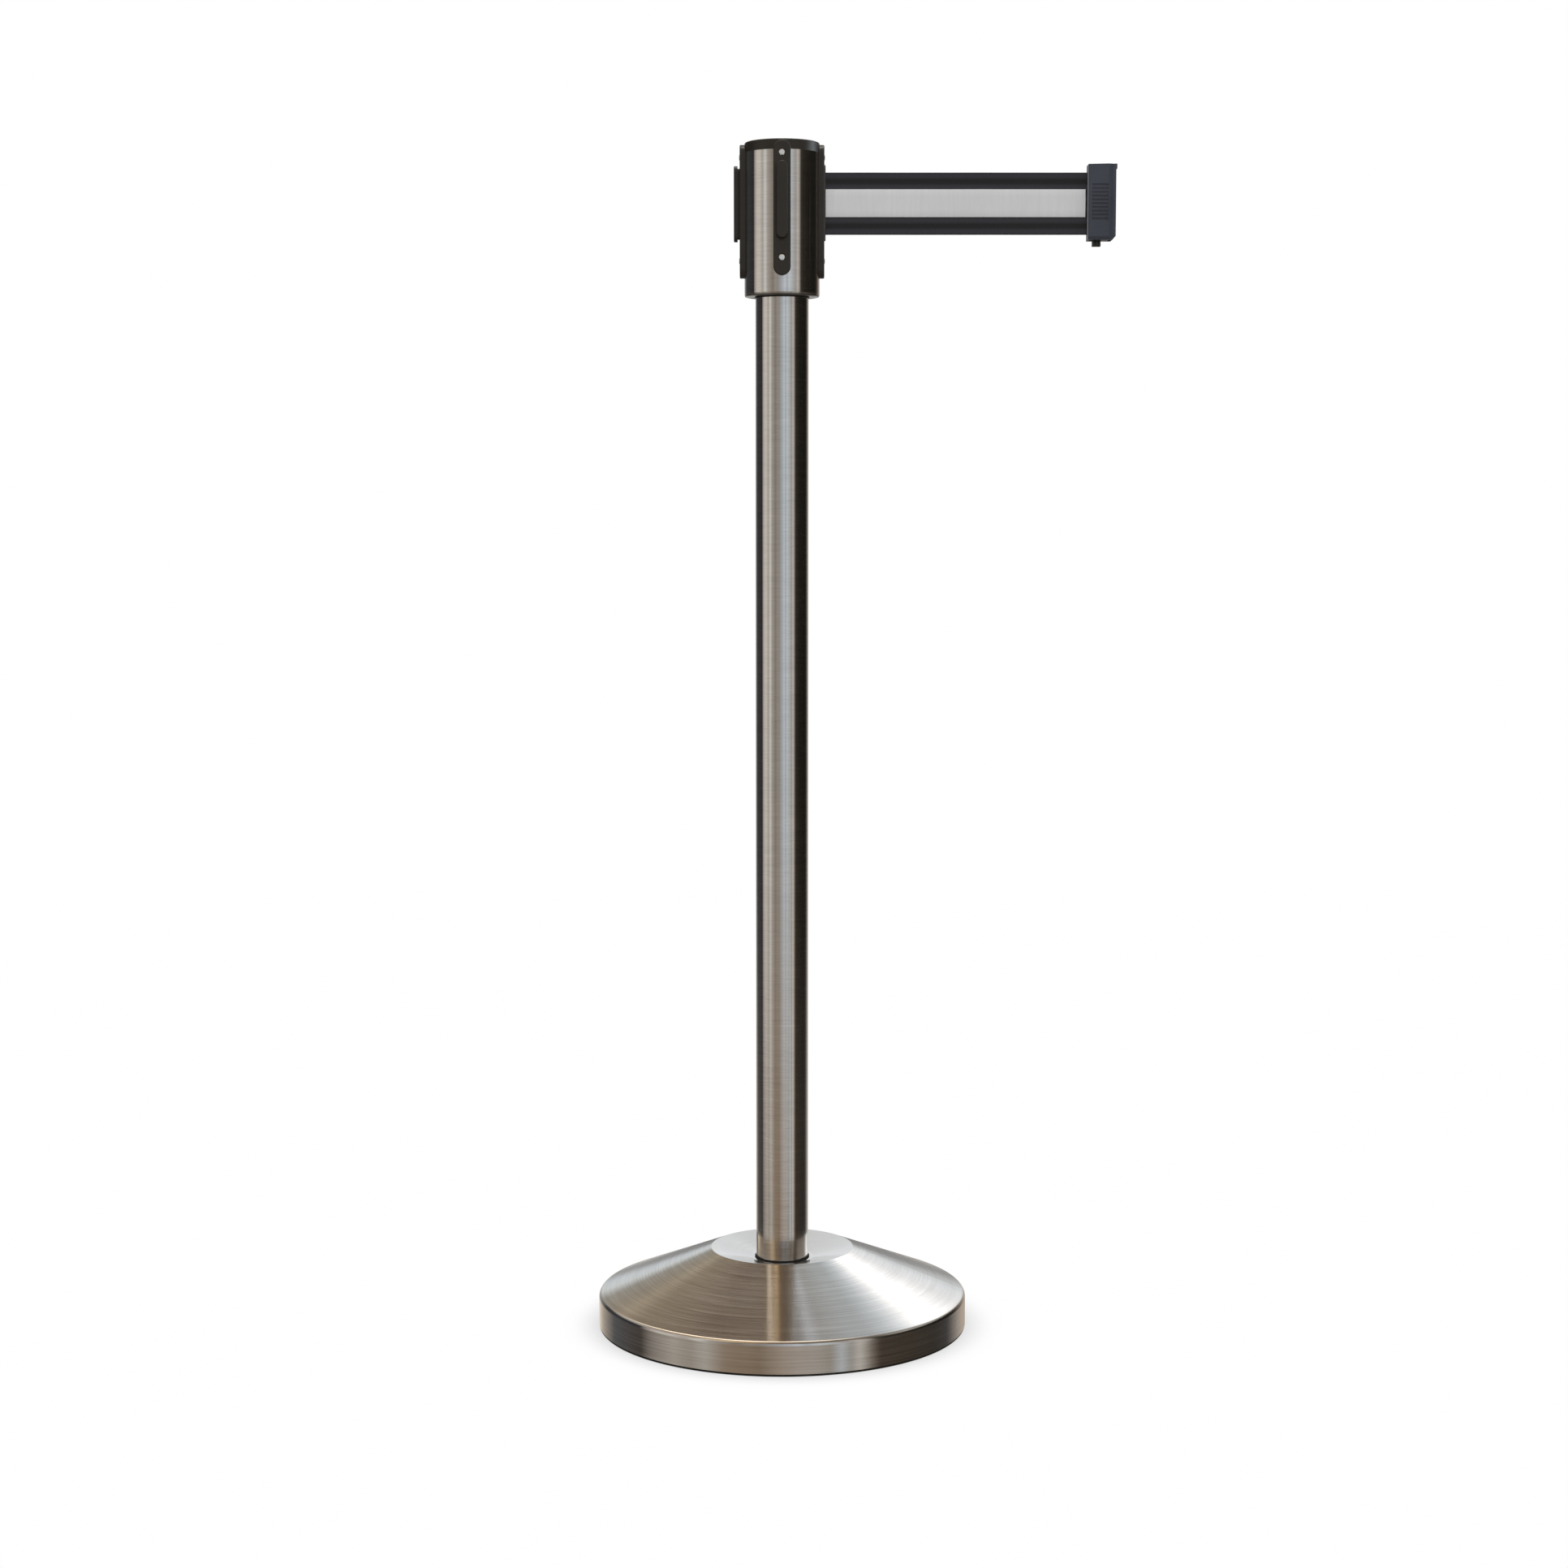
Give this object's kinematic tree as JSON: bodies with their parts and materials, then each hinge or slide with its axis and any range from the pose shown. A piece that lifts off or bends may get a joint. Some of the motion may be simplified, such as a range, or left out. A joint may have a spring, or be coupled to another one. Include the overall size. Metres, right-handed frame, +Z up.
{
  "type": "retractable belt stanchion",
  "caption": "Free-standing brushed steel post on a weighted round base, with a head that holds a spring-wound belt with a locking clip and three receiver rails.",
  "frame": {"origin": "on the post's axis, at floor level, in the plane of the rubber ring's bottom face", "axes": "+Z up along the post, +X the way the belt is drawn out, -Y towards the front receiver rail"},
  "size_m": [0.4258, 0.308, 0.979],
  "materials": {
    "brushed_steel": "brushed round the axis",
    "spun_steel": "satin, brushed round the axis",
    "cast_iron": "rough, painted",
    "rubber": "matt",
    "black_plastic": "fine moulded grain",
    "clip_plastic": "fine moulded grain",
    "nylon": "natural nylon",
    "zinc_steel": "bright zinc plate",
    "spring_steel": "blued",
    "bronze": "sintered",
    "webbing": "woven polyester with a grey band"
  },
  "bodies": {
    "stand": {"base_cover": "spun_steel", "base_weight": "cast_iron", "floor_ring": "rubber", "foot_gasket": "rubber", "post_bolt": "zinc_steel", "bolt_washer": "zinc_steel", "post_tube": "brushed_steel", "post_plug": "zinc_steel", "head_adapter": "black_plastic", "head_sleeve": "brushed_steel", "top_cap": "black_plastic", "receiver_front": "black_plastic", "receiver_left": "black_plastic", "receiver_back": "black_plastic", "outlet_strip": "black_plastic", "strip_screws": "zinc_steel", "cassette_body": "black_plastic", "cassette_screws": "zinc_steel", "cassette_lid": "black_plastic", "lid_screws": "zinc_steel", "reel_axle": "zinc_steel", "axle_clip": "spring_steel", "spring_cover": "zinc_steel", "power_spring": "spring_steel", "brake_drum": "zinc_steel", "roller_pin": "zinc_steel", "belt_lead": "webbing"},
    "reel": {"reel": "nylon", "reel_bush_lower": "bronze", "reel_bush_upper": "bronze", "belt_anchor_pin": "zinc_steel", "brake_pins": "zinc_steel", "belt_coil": "webbing"},
    "brake_shoe_a": {"brake_shoe_a": "rubber"},
    "brake_shoe_b": {"brake_shoe_b": "rubber"},
    "guide_roller": {"guide_roller": "nylon"},
    "belt_end": {"belt_web": "webbing", "clip_front": "clip_plastic", "clip_rear": "clip_plastic", "clip_screws": "zinc_steel", "belt_bar": "zinc_steel", "lever_pin": "zinc_steel", "lock_spring": "spring_steel"},
    "lock_lever": {"lock_lever": "black_plastic"}
  },
  "joints": [
    {"name": "belt_pull", "type": "slide", "parent": "stand", "child": "belt_end", "axis": [1, 0, 0], "range_m": [-0.212, 1.7], "deforming": ["belt_web"]},
    {"name": "reel_spin", "type": "hinge", "parent": "stand", "child": "reel", "pos_m": [-0.003, 0, 0.93], "axis": [0, 0, -1], "range_deg": [-900, 7000], "stiffness_Nm_per_rad": 0.0003, "springref_deg": -16615.78, "deforming": ["power_spring"]},
    {"name": "roller_spin", "type": "hinge", "parent": "stand", "child": "guide_roller", "pos_m": [0.0247, 0.00235, 0.93], "axis": [0, 0, 1], "continuous": true},
    {"name": "shoe_a_swing", "type": "hinge", "parent": "reel", "child": "brake_shoe_a", "pos_m": [0.01086, 0.008, 0.896], "axis": [0, 0, -1], "range_deg": [0, 3], "stiffness_Nm_per_rad": 0.005, "springref_deg": -5.73},
    {"name": "shoe_b_swing", "type": "hinge", "parent": "reel", "child": "brake_shoe_b", "pos_m": [-0.01686, -0.008, 0.896], "axis": [0, 0, -1], "range_deg": [0, 3], "stiffness_Nm_per_rad": 0.005, "springref_deg": -5.73},
    {"name": "lock_swing", "type": "hinge", "parent": "belt_end", "child": "lock_lever", "pos_m": [0.2607, 0, 0.9115], "axis": [0, 1, 0], "range_deg": [0, 8], "stiffness_Nm_per_rad": 0.02, "springref_deg": -17.19, "deforming": ["lock_spring"]}
  ],
  "couplings": [
    {"joint": "reel_spin", "follows": "belt_pull", "rad_per_m": 70.9},
    {"joint": "roller_spin", "follows": "belt_pull", "rad_per_m": 454.5}
  ]
}
